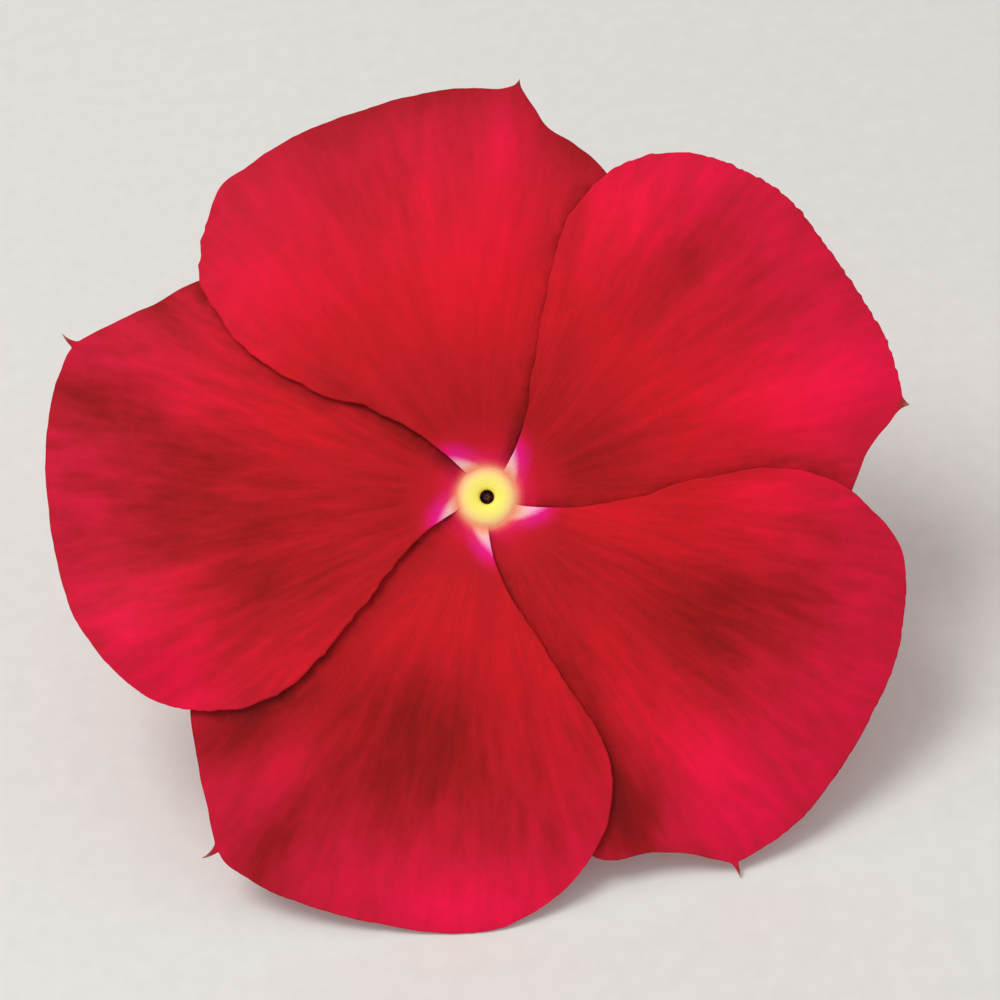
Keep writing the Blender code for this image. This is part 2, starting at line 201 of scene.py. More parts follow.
BLADE_THICKNESS = 0.20
EDGE_ROUNDING = 0.16            # width over which the blade thins to its margin
FOOT_THINNING = (2.0, 8.0)      # towards the eye the blade thins to half between these distances
FACE_RISE = 1.0                 # shallow swelling round the eye
RISE_START = 2.0
RISE_LENGTH = 5.0
RIM_FALL = 2.2                  # how far the outer rim curls back
RIM_RADIUS = 28.0
LIFT_RADII = (1.4, 4.0)         # a petal's lift grows between these distances from the eye
UNDER_DROP = 0.45               # how far a covered margin sinks below the petal on top of it
UNDER_REACH = (0.5, 6.0)
POINT_RISE = 0.25               # the fine point at a tip turns up a little
FOLD_START = (3.0, 9.0)         # folds grow between these distances from the eye
FOLD_FADE = (0.3, 5.0)          # and flatten out towards the two margins that show
FOLD_DEPTH = 0.5                # height of a wide fold of full tone
WIDE_FOLD = 5.0
CURL = (43.0, 25.0, 9.0, 4.0)   # turned-up corner: turn, distance from the eye, width in degrees, length
BUCKLE_WAVE = 3.2               # a ruffled margin also waves up and down
BUCKLE_REACH = 1.5
BUCKLE_START = (4.0, 9.0)
CREASE_SHADE_START = (1.7, 2.6)       # the painted shade in the crease beside a covering petal darkens from the eye, and softens further out
CREASE_SHADE_FADE = (3.5, 7.0)        # and softens further out
CREASE_SHADE_BY_EYE = 2.1
CREASE_SHADE_SOFTENING = 1.3


def polar(degrees, radius):
    angle = np.radians(degrees)
    return np.array((radius * np.cos(angle), radius * np.sin(angle)))


def ease(value, start, end):
    """Rises smoothly from 0 at start to 1 at end."""
    share = np.clip((value - start) / (end - start), 0.0, 1.0)
    return share * share * (3.0 - 2.0 * share)


def smooth_curve(points, places, after=None):
    """Points on a smooth curve through the given ones, at shares of its length.

    A point after gives the curve's direction where it runs on past its end.
    """
    points = np.array(points, float)
    last = 2 * points[-1] - points[-2] if after is None else after
    ends = np.vstack([2 * points[0] - points[1], points, last])
    t = (np.arange(CURVE_STEPS) / CURVE_STEPS)[:, None]
    spans = []
    for p0, p1, p2, p3 in zip(ends, ends[1:], ends[2:], ends[3:]):
        spans.append(0.5 * (2 * p1 + (p2 - p0) * t + (2 * p0 - 5 * p1 + 4 * p2 - p3) * t ** 2
                            + (3 * p1 - p0 - 3 * p2 + p3) * t ** 3))
    dense = np.vstack([*spans, points[-1:]])
    travelled = np.concatenate([[0.0], np.cumsum(np.linalg.norm(np.diff(dense, axis=0), axis=1))])
    wanted = np.asarray(places) * travelled[-1]
    return np.column_stack([np.interp(wanted, travelled, dense[:, axis]) for axis in range(2)])


def waviness(length, wavelength, seed):
    """Irregular wave along a margin, about -1 to 1."""
    random = np.random.RandomState(seed)
    wave = np.zeros_like(length)
    for share, strength in WAVE_PARTS:
        wave += strength * np.sin(2 * math.pi * (length / (wavelength * share) + random.rand()))
    return wave


def ripple(side, size, wavelength, seed, start=RIPPLE_FADE):
    """Moves a margin in and out by a small wave that dies away at its two ends."""
    length = np.concatenate([[0.0], np.cumsum(np.linalg.norm(np.diff(side, axis=0), axis=1))])
    along = np.gradient(side, axis=0)
    along /= np.linalg.norm(along, axis=1)[:, None]
    across = np.column_stack([-along[:, 1], along[:, 0]])
    fade = ease(length, 0.0, start) * ease(length[-1] - length, 0.0, RIPPLE_FADE)
    return side + across * (size * fade * waviness(length, wavelength, seed))[:, None]


def crowded(count):
    """Shares from 0 to 1, closer together at the two ends."""
    even = np.arange(count + 1) / count
    return even - CROWDING * np.sin(2 * math.pi * even) / (2 * math.pi)


def leading_margin(petal):
    """Turns and distances along the margin that lies on top, out to the corner."""
    corner_turn, corner_distance = petal["corner"]
    return np.array([*petal["leading"], corner_turn]), np.array([*LEADING_DISTANCES, corner_distance])


def petal_outline(petal, centre):
    """Foot, trailing margin, outer edge and leading margin of a petal, flat."""
    tip, reach = petal["tip"], petal["reach"]
    rows, columns = crowded(PETAL_ROWS), crowded(PETAL_COLUMNS)
    first, last = (centre + turn for turn in FOOT_SPAN)
    foot = polar(first + (last - first) * columns, FOOT_RADIUS).T
    tip_point = polar(tip, reach)
    trailing = [foot[0], *(polar(tip + turn, reach * share) for turn, share in COVERED_MARGIN)]
    trailing += [polar(tip + turn, distance) for turn, distance in zip(TRAILING_TURNS, petal["trailing"])]
    trailing.append(tip_point)
    leading = [foot[-1], *(polar(tip + turn, distance) for turn, distance in zip(*leading_margin(petal)))]
    outer = [tip_point, *(polar(tip + turn, distance) for turn, distance in zip(RIM_TURNS, petal["rim"]))]
    trailing_side = smooth_curve(trailing, rows)
    outer_side = smooth_curve([*outer, leading[-1]], columns, after=leading[-2])
    leading_side = smooth_curve(leading, rows, after=outer[-1])
    seed, ruffle = petal["seed"], petal["ruffle"]
    trailing_side = ripple(trailing_side, MARGIN_RIPPLE, TRAILING_WAVE, seed)
    outer_side = ripple(outer_side, MARGIN_RIPPLE, RIM_WAVE, seed + 10)
    outer_side = ripple(outer_side, petal["frill"], FRILL_WAVE, seed + 20)
    leading_side = ripple(leading_side, ruffle, RUFFLE_WAVE, seed + 30, RUFFLE_START)
    leading_side = ripple(leading_side, SHORT_RUFFLE * ruffle, SHORT_RUFFLE_WAVE, seed + 50, RUFFLE_START)
    return foot, trailing_side, outer_side, leading_side


def fill_outline(foot, trailing, outer, leading):
    """Flat grid of points stretched between the four sides, rows from the foot to the outer edge."""
    t = crowded(PETAL_ROWS)[:, None, None]
    s = crowded(PETAL_COLUMNS)[None, :, None]
    sides = foot[None] * (1 - t) + outer[None] * t + trailing[:, None] * (1 - s) + leading[:, None] * s
    corners = (foot[0] * (1 - s) + foot[-1] * s) * (1 - t) + (outer[0] * (1 - s) + outer[-1] * s) * t
    return sides - corners


def draw_out_point(flat, petal):
    """Pulls the corner at the tip into a fine point, bent to one side; also gives the pull at each place."""
    corner = flat[-1, 0].copy()
    distance = np.linalg.norm(flat - corner, axis=2)
    pull = np.clip(1.0 - distance / petal["base"], 0.0, 1.0) ** 3
    outward = corner / np.linalg.norm(corner)
    sideways = np.array((-outward[1], outward[0]))
    shift = pull[..., None] * outward + (petal["hook"] * pull ** 2)[..., None] * sideways
    return flat + petal["point"] * shift, pull


def past_margin(name, direction, radius):
    """Distance, in millimetres, anticlockwise from a petal's leading margin."""
    petal = PETALS[name]
    turns, radii = leading_margin(petal)
    margin = petal["tip"] + np.interp(radius, radii, turns)
    return np.radians((direction - margin + 180.0) % 360.0 - 180.0) * radius


def fold_fields(petal, turn, radius):
    """Height and tone of a petal's soft swellings and hollows; the tone is partly painted light and shade."""
    height = np.zeros_like(radius)
    tone = np.zeros_like(radius)
    for fold_turn, fold_radius, width, length, strength in petal["folds_and_shade"]:
        bell = np.exp(-((turn - fold_turn) / width) ** 2 - ((radius - fold_radius) / length) ** 2)
        bell *= strength
        breadth = min(math.radians(width) * fold_radius, length)
        height += FOLD_DEPTH * min(breadth / WIDE_FOLD, 1.0) * bell
        tone += bell
    return height, tone


def run_lengths(points, axis):
    """Distance along a grid's rows or columns, from the start and from the end."""
    steps = np.linalg.norm(np.diff(points, axis=axis), axis=2)
    start = np.insert(np.cumsum(steps, axis=axis), 0, 0.0, axis=axis)
    total = start[:, -1:] if axis == 1 else start[-1:]
    return start, total - start


def squares(grid):
    """Quads of a grid of point numbers, facing up when rows run outwards and columns anticlockwise."""
    return np.stack([grid[:-1, :-1], grid[1:, :-1], grid[1:, 1:], grid[:-1, 1:]], axis=-1).reshape(-1, 4)


def new_mesh(name, points, faces):
    """A smooth mesh from points in millimetres."""
    mesh = bpy.data.meshes.new(name)
    mesh.from_pydata((points.reshape(-1, 3) * MM).tolist(), [], faces)
    mesh.shade_smooth()
    return mesh


def blade_mesh(name, front, back, flipped=False):
    """A closed thin blade, whose front and back grids of points meet along the margin.

    It holds the front grid's points and then the back grid's, without the margin. Also gives a grid
    that says which places are inside the margin.
    """
    rows, columns = front.shape[:2]
    front_numbers = np.arange(rows * columns).reshape(rows, columns)
    inside = np.zeros((rows, columns), bool)
    inside[1:-1, 1:-1] = True
    back_numbers = front_numbers.copy()
    back_numbers[inside] = rows * columns + np.arange(inside.sum())
    faces = np.vstack([squares(front_numbers), squares(back_numbers)[:, ::-1]])
    if flipped:
        faces = faces[:, ::-1]
    return new_mesh(name, np.vstack([front.reshape(-1, 3), back[inside]]), faces.tolist()), inside


def store(mesh, name, values):
    """Keeps a number or a vector for each point of a mesh, which its material reads by name."""
    if values.ndim == 1:
        mesh.attributes.new(name, "FLOAT", "POINT").data.foreach_set("value", values)
    else:
        mesh.attributes.new(name, "FLOAT_VECTOR", "POINT").data.foreach_set("vector", values.ravel())


def petal_mesh(name, index):
    """A petal's blade, with the places and tones that its skin is coloured by."""
    petal = PETALS[name]
    centre = PETALS["petal_right"]["tip"] + PETAL_CENTRE + PETAL_PITCH * index
    flat, pull = draw_out_point(fill_outline(*petal_outline(petal, centre)), petal)
    radius = np.linalg.norm(flat, axis=2)
    direction = np.degrees(np.arctan2(flat[..., 1], flat[..., 0]))
    turn = (direction - petal["tip"] + 180.0) % 360.0 - 180.0
    share = (direction - centre + 180.0) % 360.0 - 180.0

    # Shallow dome, turned up towards the leading margin, sunk where the petal before covers it.
    height = FACE_RISE * (1.0 - np.exp(-np.clip(radius - RISE_START, 0.0, None) / RISE_LENGTH))
    height -= RIM_FALL * (radius / RIM_RADIUS) ** 3
    height += petal["lift"] * ease(radius, *LIFT_RADII) * share / PETAL_PITCH
    in_sight = past_margin(list(PETALS)[index - 1], direction, radius)
    height -= UNDER_DROP * ease(-in_sight, *UNDER_REACH)

    # Folds, flat where neighbours meet, and the turned-up corner.
    fold_height, tone = fold_fields(petal, turn, radius)
    inwards = -past_margin(name, direction, radius)
    height += fold_height * ease(radius, *FOLD_START) * ease(inwards, *FOLD_FADE) * ease(in_sight, *FOLD_FADE)
    curl_turn, curl_radius, curl_width, curl_length = CURL
    curl = np.exp(-((turn - curl_turn) / curl_width) ** 2 - ((radius - curl_radius) / curl_length) ** 2)
    height += petal["curl"] * curl
    middle = np.dstack([flat, height + POINT_RISE * petal["point"] * pull])
    from_trailing, from_leading = run_lengths(middle, 1)
    from_foot, from_outer = run_lengths(middle, 0)
    buckle = waviness(radius, BUCKLE_WAVE, petal["seed"] + 40) * np.exp(-from_leading / BUCKLE_REACH)
    middle[..., 2] += petal["ruffle"] * buckle * ease(radius, *BUCKLE_START)

    # Front and back skins, half the thickness out from the middle and joined along the margin.
    normal = np.cross(np.gradient(middle, axis=0), np.gradient(middle, axis=1))
    normal /= np.linalg.norm(normal, axis=2)[..., None]
    edge = np.minimum(np.minimum(from_trailing, from_leading), np.minimum(from_outer, from_foot))
    thin = np.sqrt(1.0 - (1.0 - np.clip(edge / EDGE_ROUNDING, 0.0, 1.0)) ** 2)
    half = 0.5 * BLADE_THICKNESS * thin * (0.5 + 0.5 * ease(radius, *FOOT_THINNING))
    offset = normal * half[..., None]
    mesh, inside = blade_mesh(name, middle + offset, middle - offset)

    # What the skin is coloured by, the same on its front and its back.
    seed, flare, veins = (np.full_like(radius, petal[key]) for key in ("seed", "flare", "veins"))
    # Strength of the shade painted beside the margin of the petal before: it grows from the eye and softens
    # further out.
    crease_shade = petal["crease_shade"] * ease(radius, *CREASE_SHADE_START)
    crease_shade *= CREASE_SHADE_BY_EYE - CREASE_SHADE_SOFTENING * ease(radius, *CREASE_SHADE_FADE)
    for key, grid in (
        ("blade", np.dstack([turn / PETAL_PITCH, radius / RIM_RADIUS, seed])),
        ("from_eye", radius), ("from_leading", np.clip(inwards, 0.0, None)), ("in_sight", in_sight),
        ("flare", flare), ("crease_shade", crease_shade), ("pull", pull), ("edge", edge), ("tone", tone),
        ("veins", veins),
    ):
        store(mesh, key, np.concatenate([grid.reshape(radius.size, *grid.shape[2:]), grid[inside]]))
    store(mesh, "front", np.where(np.arange(len(mesh.vertices)) < radius.size, 1.0, 0.0))
    return mesh


def add_node(tree, kind, values=None, **settings):
    """A shader node with its settings, and its inputs as numbers or as another node's output."""
    node = tree.nodes.new(kind)
    for key, value in settings.items():
        setattr(node, key, value)
    for key, value in (values or {}).items():
        if isinstance(value, bpy.types.NodeSocket):
            tree.links.new(value, node.inputs[key])
        else:
            node.inputs[key].default_value = value
    return node


def maths(tree, operation, *values):
    return add_node(tree, "ShaderNodeMath", dict(enumerate(values)), operation=operation).outputs[0]


def noise(tree, place, scale, detail=2.0, roughness=0.5):
    values = {"Vector": place, "Scale": scale, "Detail": detail, "Roughness": roughness}
    return add_node(tree, "ShaderNodeTexNoise", values).outputs[0]


def centred(tree, value, strength):
    """Turns a 0 to 1 pattern into one about zero, of the given strength."""
    return maths(tree, "MULTIPLY", maths(tree, "SUBTRACT", value, 0.5), strength)


def mix_colours(tree, share, first, second):
    return add_node(tree, "ShaderNodeMix", {0: share, 6: first, 7: second}, data_type="RGBA").outputs[2]


def attribute(tree, name, output="Fac"):
    return add_node(tree, "ShaderNodeAttribute", attribute_name=name).outputs[output]


def own_place(tree):
    """Each point's place about the flower's own axis, in metres."""
    return attribute(tree, "place", "Vector")


def stretched(tree, place, scale):
    return add_node(tree, "ShaderNodeVectorMath", {0: place, 1: scale}, operation="MULTIPLY").outputs[0]


def map_range(tree, value, start, end, low=0.0, high=1.0):
    values = {0: value, 1: start, 2: end, 3: low, 4: high}
    return add_node(tree, "ShaderNodeMapRange", values, interpolation_type="SMOOTHSTEP").outputs[0]


def chip(red, green, blue):
    """Shader colour of a paint chip whose red, green and blue run from 0 to 255."""
    def channel(value):
        value /= 255.0
        return value / 12.92 if value <= 0.04045 else ((value + 0.055) / 1.055) ** 2.4
    return (channel(red), channel(green), channel(blue), 1.0)


def ramp(tree, value, *stops):
    """Colour ramp through (place, red, green, blue) stops."""
    node = add_node(tree, "ShaderNodeValToRGB", {0: value})
    elements = node.color_ramp.elements
    while len(elements) < len(stops):
        elements.new(0.5)
    for element, (place, *colour) in zip(elements, stops):
        element.position = place
        element.color = chip(*colour)
    return node.outputs[0]


def new_material(name, roughness, specular):
    material = bpy.data.materials.new(name)
    material.use_nodes = True
    skin = material.node_tree.nodes["Principled BSDF"]
    skin.inputs["Roughness"].default_value = roughness
    skin.inputs["Specular IOR Level"].default_value = specular
    return material, material.node_tree, skin


def bump(tree, skin, height, strength, distance):
    values = {"Height": height, "Strength": strength, "Distance": distance * MM}
    tree.links.new(add_node(tree, "ShaderNodeBump", values).outputs[0], skin.inputs["Normal"])


# Colours by distance from the axis, in shares of EYE_REACH: of the eye, and of the flare along each
# leading margin, which is a pale wedge with a magenta edge.
EYE_REACH = 6.0
EYE_RINGS = (
    (0.055, 150, 118, 34), (0.086, 254, 236, 98), (0.125, 255, 240, 106), (0.210, 252, 232, 122),
    (0.255, 252, 213, 134), (0.290, 246, 184, 126), (0.320, 242, 148, 110), (0.350, 236, 104, 94),
    (0.380, 228, 60, 80), (0.420, 218, 28, 71), (0.480, 211, 26, 59), (0.600, 194, 26, 39),
    (0.740, 187, 26, 37), (1.000, 184, 26, 37),
)
MAGENTA_RINGS = (
    (0.300, 246, 150, 130), (0.360, 238, 92, 106), (0.430, 234, 47, 120), (0.560, 234, 25, 134),
    (0.680, 230, 23, 106), (0.750, 227, 25, 78), (0.900, 222, 25, 62),
)
PALE_RINGS = (
    (0.240, 252, 222, 146), (0.285, 244, 184, 124), (0.320, 236, 152, 108), (0.360, 245, 158, 134),
    (0.420, 247, 184, 178), (0.490, 248, 176, 200), (0.560, 246, 162, 210),
)
PALE_BEND = 0.35                # how fast the pale wedge and its magenta edge narrow outwards
MAGENTA_BEND = 0.45


def new_group(name, inputs, outputs):
    """An empty shader group with number, colour or vector sockets; gives it, its inputs and its ends."""
    tree = bpy.data.node_groups.new(name, "ShaderNodeTree")
    for socket, kind in inputs:
        tree.interface.new_socket(socket, in_out="INPUT", socket_type=f"NodeSocket{kind}")
    for socket, kind in outputs:
        tree.interface.new_socket(socket, in_out="OUTPUT", socket_type=f"NodeSocket{kind}")
    return tree, tree.nodes.new("NodeGroupInput").outputs, tree.nodes.new("NodeGroupOutput").inputs


def use_group(tree, group, values):
    return add_node(tree, "ShaderNodeGroup", values, node_tree=group).outputs


def eye_group():
    """Yellow ring, red beyond it, and the pale flare with its magenta edge along the leading margin."""
    tree, given, ends = new_group(
        "eye_colours",
        [("From Eye", "Float"), ("From Leading", "Float"), ("Flare", "Float"), ("Streaks", "Float")],
        [("Colour", "Color")])
    from_eye, from_leading = given["From Eye"], given["From Leading"]
    uneven_reach = maths(tree, "ADD", from_eye, centred(tree, given["Streaks"], 0.16))
    place_in_eye = maths(tree, "DIVIDE", uneven_reach, EYE_REACH)
    across = maths(tree, "MULTIPLY", from_leading, from_leading)
    uneven = maths(tree, "SUBTRACT", centred(tree, given["Streaks"], 0.55), given["Flare"])
    pale_place = maths(tree, "MULTIPLY_ADD", across, PALE_BEND, maths(tree, "ADD", from_eye, from_leading))
    pale = map_range(tree, maths(tree, "ADD", pale_place, uneven), -0.60, 0.45, 1.0, 0.0)
    magenta_place = maths(tree, "MULTIPLY_ADD", across, MAGENTA_BEND, from_eye)
    magenta = map_range(tree, maths(tree, "ADD", magenta_place, uneven), -0.05, 2.1, 1.0, 0.0)
    magenta = maths(tree, "MULTIPLY", magenta, map_range(tree, from_leading, 0.2, 2.1, 1.0, 0.0))
    started = map_range(tree, from_eye, 1.5, 2.15)
    eye = mix_colours(tree, maths(tree, "MULTIPLY", magenta, started),
                      ramp(tree, place_in_eye, *EYE_RINGS), ramp(tree, place_in_eye, *MAGENTA_RINGS))
    eye = mix_colours(tree, maths(tree, "MULTIPLY", pale, started),
                      eye, ramp(tree, place_in_eye, *PALE_RINGS))
    tree.links.new(eye, ends["Colour"])
    return tree


# Petal reds by tone, from the deepest hollow or painted shade to the brightest swelling or painted
# light: the scarlet near the eye, and the crimson further out, which has more blue in it.
DEEPEST_TONE = -2.2             # tone at the start of the two ramps, and how far they run
TONE_SPAN = 3.6
NEAR_REDS = (
    (0.0, 104, 21, 20), (0.32, 150, 23, 24), (0.42, 165, 24, 28), (0.56, 185, 26, 33),
    (0.70, 205, 26, 36), (0.84, 225, 24, 42), (1.0, 246, 24, 47),
)
OUTER_REDS = (
    (0.0, 104, 19, 21), (0.32, 150, 22, 28), (0.42, 165, 24, 36), (0.56, 185, 26, 47),
    (0.70, 205, 26, 57), (0.84, 225, 23, 65), (1.0, 246, 23, 73),
)


def vein_group():
    """Fine veins that fan out along a blade."""
    tree, given, ends = new_group(
        "fanned_veins",
        [("Blade", "Vector"), ("Across", "Float"), ("Along", "Float")],
        [("Veins", "Float"), ("Fine", "Float")])
    scale = add_node(tree, "ShaderNodeCombineXYZ", {0: given["Across"], 1: given["Along"], 2: 7.0})
    place = add_node(tree, "ShaderNodeVectorMath", {0: given["Blade"], 1: scale.outputs[0]},
                     operation="MULTIPLY").outputs[0]
    coarse = noise(tree, place, 1.0)
    fine = noise(tree, stretched(tree, place, (2.5, 1.8, 1.0)), 1.0)
    both = maths(tree, "ADD", maths(tree, "MULTIPLY", coarse, 0.66), maths(tree, "MULTIPLY", fine, 0.34))
    tree.links.new(both, ends["Veins"])
    tree.links.new(fine, ends["Fine"])
    return tree


eye_colours = eye_group()
fanned_veins = vein_group()


def velvet_material():
    """Crimson petal skin: darker in its hollows, flushed with magenta outwards, cream and pink by the eye.

    Its tone carries painted light and shade on the folds, and painted shade under the petal before.
    """
    material, tree, skin = new_material("petal_velvet", 0.6, 0.05)
    from_eye = attribute(tree, "from_eye")
    blade = attribute(tree, "blade", "Vector")
    veins = use_group(tree, fanned_veins, {"Blade": blade, "Across": 20.0, "Along": 6.0})
    long_streaks = use_group(tree, fanned_veins, {"Blade": blade, "Across": 7.0, "Along": 1.6})
    place = own_place(tree)
    flecks = noise(tree, place, 2100.0, 2.0, 0.6)
    grain = noise(tree, place, 5200.0, 1.0)

    # Tone: the folds with their painted light and shade, darker round the eye, long soft streaks, the
    # veins and fine flecks. The margin is darker, and shade is painted in the crease under the petal before.
    tone = attribute(tree, "tone")
    vein_strength = maths(tree, "MULTIPLY", map_range(tree, from_eye, 6.0, 20.0, 1.1, 1.9),
                          attribute(tree, "veins"))
    for part in (
        map_range(tree, from_eye, 5.0, 13.0, -0.4, 0.05),
        centred(tree, long_streaks["Veins"], 1.1),
        maths(tree, "MULTIPLY", centred(tree, veins["Veins"], 1.0), vein_strength),
        centred(tree, flecks, 0.45),
        centred(tree, grain, 0.24),
        map_range(tree, attribute(tree, "edge"), 0.0, 0.18, -0.4, 0.0),
    ):
        tone = maths(tree, "ADD", tone, part)
    # Shade painted along the crease under the margin of the petal before: narrow and dark right by the
    # margin, wider and softer beyond, and patchy.
    near_painted_shade = map_range(tree, attribute(tree, "in_sight"), 0.0, 0.30, 0.25, 0.0)
    wide_painted_shade = map_range(tree, attribute(tree, "in_sight"), 0.0, 1.5, 0.5, 0.0)
    uneven = map_range(tree, noise(tree, place, 800.0, 2.0), 0.3, 0.7, 0.35, 1.65)
    crease_shade = maths(tree, "MULTIPLY", maths(tree, "ADD", near_painted_shade, wide_painted_shade), uneven)
    crease_shade = maths(tree, "MULTIPLY", crease_shade, attribute(tree, "crease_shade"))
    back_place = maths(tree, "MULTIPLY_ADD", tone, 1.0 / TONE_SPAN, -DEEPEST_TONE / TONE_SPAN)
    tone = maths(tree, "SUBTRACT", tone, crease_shade)
    tone_place = maths(tree, "MULTIPLY_ADD", tone, 1.0 / TONE_SPAN, -DEEPEST_TONE / TONE_SPAN)
    scarlet = ramp(tree, tone_place, *NEAR_REDS)
    crimson = ramp(tree, tone_place, *OUTER_REDS)
    reds = mix_colours(tree, map_range(tree, from_eye, 12.0, 28.0), scarlet, crimson)
    eye = use_group(tree, eye_colours, {
        "From Eye": from_eye, "From Leading": attribute(tree, "from_leading"),
        "Flare": attribute(tree, "flare"), "Streaks": veins["Fine"],
    })["Colour"]
    # The same painted shade darkens the eye's colours beside the covering margin.
    eye = mix_colours(tree, maths(tree, "MULTIPLY", crease_shade, 0.32), eye, chip(84, 15, 20))
    face = mix_colours(tree, map_range(tree, from_eye, 4.0, 6.0), eye, reds)
    tip = ramp(tree, attribute(tree, "pull"), (0.0, 160, 24, 44), (0.5, 150, 50, 48), (1.0, 182, 128, 92))
    face = mix_colours(tree, map_range(tree, attribute(tree, "pull"), 0.05, 0.6), face, tip)

    # The back is paler and pinker, and palest by the tube. It follows the front's tone, including the painted
    # light and shade of the folds.
    back = ramp(tree, back_place, (0.2, 176, 44, 60), (0.6, 212, 70, 90), (0.9, 234, 104, 120))
    back = mix_colours(tree, map_range(tree, from_eye, 2.0, 10.0, 0.8, 0.0), back, chip(238, 180, 172))
    colour = mix_colours(tree, attribute(tree, "front"), back, face)
    tree.links.new(colour, skin.inputs["Base Color"])
    relief = maths(tree, "ADD", veins["Veins"], maths(tree, "MULTIPLY", grain, 0.25))
    bump(tree, skin, relief, 0.4, 0.10)
    return material


def place_piece(name, mesh, material, slot, *nodes):
    """Lays a finished piece down with the flower, in place of its nodes."""
    store(mesh, "place", mesh_points(mesh))
    mesh.transform(flower)
    mesh.materials.append(material)
    piece = bpy.data.objects.new(name, mesh)
    scene.collection.objects.link(piece)
    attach(piece, "root")
    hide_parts(*nodes)


velvet = velvet_material()
for index, name in enumerate(PETALS):
    place_piece(f"{name}_blade", petal_mesh(name, index), velvet, "petal", name)


# ---- Corolla tube and eye ----
# The petals' skins join into one narrow tube, which swells below its mouth to hold the anthers. Its
# rim is the yellow eye round the dark throat, and under the petals it widens to carry them.

TUBE_LENGTH = 23.0
TUBE_STEPS = 240
TUBE_SAMPLES = 260
TUBE_PROFILE = (                # radius and height, from the mouth over the eye and down the outside
    (0.62, -1.4), (0.50, -0.9), (0.45, -0.5), (0.45, -0.18), (0.47, -0.05), (0.54, 0.05), (0.74, 0.12),
    (1.05, 0.17), (1.35, 0.17), (1.62, 0.12), (1.85, 0.05), (2.02, -0.01), (2.06, -0.06), (2.05, -0.18),
    (1.95, -0.42), (1.78, -0.80), (1.68, -1.5), (1.72, -2.6), (1.76, -3.8), (1.70, -5.0), (1.48, -6.4),
    (1.24, -8.0), (1.12, -10.5), (1.07, -14.0), (1.04, -18.0), (1.00, -22.9), (0.80, -23.0),
    (0.76, -22.0), (0.78, -16.0), (0.82, -10.0), (1.02, -7.5), (1.30, -5.6), (1.42, -4.2), (1.38, -2.4),
    (1.08, -1.75), (0.62, -1.4),
)
RIB_COUNT = 5
RIB_DEPTH = 0.035               # the swelling bulges a little over each anther
RIB_HEIGHTS = (-0.6, -2.0)      # ribs start below the eye
RIM_FLARE = 3.5                 # length of a petal's flare, as it starts on the rim
CLEAR_OF_FLARES = 9.0           # distance stored where no leading margin is near


def turned_mesh(name, profile, steps, samples, ribs, rib_depth, rib_heights, rib_turn=0.0):
    """Turns a smooth profile of (radius, height) points about the axis, with ribs along its length.

    It has steps round the axis, and samples along the profile. A profile that returns to its first
    point gives a ring, and any other is closed at its two ends.
    """
    outline = smooth_curve(profile, np.linspace(0.0, 1.0, samples))
    angle = 2 * math.pi * np.arange(steps) / steps
    swell = rib_depth * ease(-outline[:, 1], -rib_heights[0], -rib_heights[1])
    radius = outline[:, :1] * (1.0 + swell[:, None] * np.cos(ribs * (angle - math.radians(rib_turn)))[None])
    height = np.broadcast_to(outline[:, 1:], radius.shape)
    points = np.dstack([radius * np.cos(angle), radius * np.sin(angle), height])
    closed = np.allclose(outline[0], outline[-1])
    if closed:
        points = points[:-1]
    rings = np.arange(points.shape[0] * steps).reshape(-1, steps)
    if closed:
        rings = np.vstack([rings, rings[:1]])
    rings = np.hstack([rings, rings[:, :1]])
    faces = squares(rings).tolist()
    if not closed:
        faces += [rings[0, :-1].tolist(), rings[-1, -2::-1].tolist()]
    return new_mesh(name, points, faces)


def axis_places(tree):
    """Distance from the axis and height along it, in millimetres, of the point being coloured."""
    parts = add_node(tree, "ShaderNodeSeparateXYZ", {0: own_place(tree)}).outputs
    flat = add_node(tree, "ShaderNodeCombineXYZ", {0: parts[0], 1: parts[1]}).outputs[0]
    radius = add_node(tree, "ShaderNodeVectorMath", {0: flat}, operation="LENGTH").outputs["Value"]
    return maths(tree, "MULTIPLY", radius, 1.0 / MM), maths(tree, "MULTIPLY", parts[2], 1.0 / MM)


def fibre_group():
    """Long fine streaks down a tube, leaf or stalk, and the fuzz of small hairs on it."""
    tree, given, ends = new_group(
        "long_fibres",
        [("Across", "Float"), ("Along", "Float"), ("Grain", "Float")],
        [("Streaks", "Float"), ("Fuzz", "Float")])
    place = own_place(tree)
    across, along = given["Across"], given["Along"]
    scale = add_node(tree, "ShaderNodeCombineXYZ", {0: across, 1: across, 2: along})
    tree.links.new(noise(tree, stretched(tree, place, scale.outputs[0]), 1.0, 3.0, 0.6), ends["Streaks"])
    tree.links.new(noise(tree, place, given["Grain"]), ends["Fuzz"])
    return tree


long_fibres = fibre_group()


